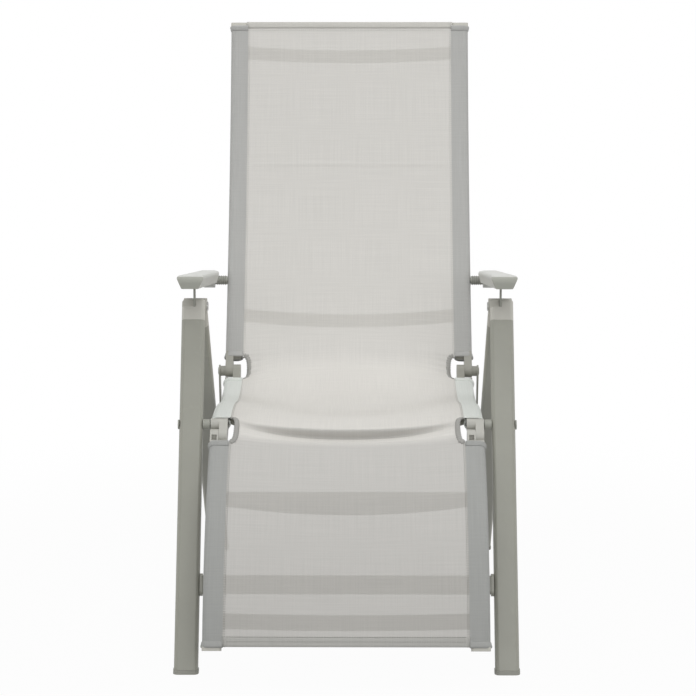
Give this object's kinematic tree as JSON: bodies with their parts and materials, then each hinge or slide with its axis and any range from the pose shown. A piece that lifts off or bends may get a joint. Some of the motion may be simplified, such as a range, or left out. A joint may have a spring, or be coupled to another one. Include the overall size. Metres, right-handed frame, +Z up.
{
  "type": "reclining garden armchair",
  "caption": "Folding high-back garden armchair with a reclining back, sliding notched armrests and a hinged footrest under stretched textile.",
  "frame": {"origin": "on the floor under the middle of the whole chair", "axes": "+Z up, the sitter faces -Y, +X is the sitter's left"},
  "size_m": [0.6052, 1.0474, 1.1087],
  "materials": {
    "frame_coat": "satin powder coat",
    "textile": "woven coated mesh",
    "pale_plastic": "fine-grained moulding",
    "grey_plastic": "fine-grained moulding",
    "beige_plastic": "fine-grained moulding",
    "steel": "zinc plated"
  },
  "bodies": {
    "front_frame": {"front_leg_left": "frame_coat", "front_leg_right": "frame_coat", "leg_cap_left": "grey_plastic", "leg_cap_right": "grey_plastic", "armrest_tongue_left": "steel", "armrest_tongue_right": "steel", "front_feet": "grey_plastic", "front_crossbar": "frame_coat", "seat_pivot_bolts": "steel"},
    "rear_frame": {"rear_leg_left": "frame_coat", "rear_leg_right": "frame_coat", "rear_leg_head_left": "grey_plastic", "rear_leg_head_right": "grey_plastic", "rear_feet": "grey_plastic", "rear_crossbar": "frame_coat", "leg_hinge_pins": "steel"},
    "stays": {"stay_left": "frame_coat", "stay_right": "frame_coat"},
    "seat": {"seat_tube_left": "frame_coat", "seat_tube_right": "frame_coat", "seat_front_knuckle_left": "beige_plastic", "seat_front_knuckle_right": "beige_plastic", "seat_rear_knuckle_left": "beige_plastic", "seat_rear_knuckle_right": "beige_plastic", "seat_rear_bar": "frame_coat", "seat_front_bar": "frame_coat", "front_hinge_pins": "steel", "seat_fabric": "textile"},
    "rear_pivots": {"rear_axle_left": "grey_plastic", "rear_axle_right": "grey_plastic"},
    "back": {"back_tube_left": "frame_coat", "back_tube_right": "frame_coat", "back_knuckle_left": "beige_plastic", "back_knuckle_right": "beige_plastic", "back_cap_left": "grey_plastic", "back_cap_right": "grey_plastic", "back_lower_bar": "frame_coat", "back_upper_bar": "frame_coat", "back_fabric": "textile"},
    "arm_stubs": {"arm_stub_left": "grey_plastic", "arm_stub_right": "grey_plastic"},
    "armrest_left": {"armrest_left": "pale_plastic", "armrest_rack_left": "grey_plastic", "armrest_front_cap_left": "grey_plastic", "armrest_screws_left": "steel"},
    "armrest_right": {"armrest_right": "pale_plastic", "armrest_rack_right": "grey_plastic", "armrest_front_cap_right": "grey_plastic", "armrest_screws_right": "steel"},
    "footrest": {"footrest_tube_left": "frame_coat", "footrest_tube_right": "frame_coat", "footrest_knuckle_left": "beige_plastic", "footrest_knuckle_right": "beige_plastic", "footrest_upper_bar": "frame_coat", "footrest_lower_bar": "frame_coat", "footrest_caps": "grey_plastic", "footrest_fabric": "textile"}
  },
  "joints": [
    {"name": "fold", "type": "hinge", "parent": "front_frame", "child": "rear_frame", "pos_m": [0, -0.11206, 0.6], "axis": [-1, 0, 0], "range_deg": [0, 46]},
    {"name": "stay_turn", "type": "hinge", "parent": "rear_frame", "child": "stays", "pos_m": [0, 0.24259, 0.23275], "axis": [-1, 0, 0], "range_deg": [0, 53.57]},
    {"name": "seat_turn", "type": "hinge", "parent": "front_frame", "child": "seat", "pos_m": [0, -0.24506, 0.405], "axis": [-1, 0, 0], "range_deg": [0, 46.01]},
    {"name": "rear_pivot_turn", "type": "hinge", "parent": "seat", "child": "rear_pivots", "pos_m": [0, 0.18794, 0.43], "axis": [-1, 0, 0], "range_deg": [-46.01, 0]},
    {"name": "recline", "type": "hinge", "parent": "rear_pivots", "child": "back", "pos_m": [0, 0.18794, 0.43], "axis": [-1, 0, 0], "range_deg": [0, 28]},
    {"name": "arm_stub_turn", "type": "hinge", "parent": "back", "child": "arm_stubs", "pos_m": [0, 0.29926, 0.59663], "axis": [-1, 0, 0], "range_deg": [-21.14, 0]},
    {"name": "armrest_left_lift", "type": "hinge", "parent": "arm_stubs", "child": "armrest_left", "pos_m": [0, 0.29926, 0.59663], "axis": [-1, 0, 0], "range_deg": [0, 59.81]},
    {"name": "armrest_right_lift", "type": "hinge", "parent": "arm_stubs", "child": "armrest_right", "pos_m": [0, 0.29926, 0.59663], "axis": [-1, 0, 0], "range_deg": [0, 59.81]},
    {"name": "footrest_raise", "type": "hinge", "parent": "seat", "child": "footrest", "pos_m": [0, -0.26406, 0.386], "axis": [-1, 0, 0], "range_deg": [-12, 50]}
  ],
  "couplings": [
    {"joint": "stay_turn", "follows": "fold", "ratio": 1.1644},
    {"joint": "seat_turn", "follows": "fold", "ratio": 1},
    {"joint": "rear_pivot_turn", "follows": "fold", "ratio": -1},
    {"joint": "arm_stub_turn", "follows": "recline", "ratio": -0.75473},
    {"joint": "armrest_left_lift", "follows": "fold", "ratio": 1.3},
    {"joint": "armrest_right_lift", "follows": "fold", "ratio": 1.3}
  ]
}
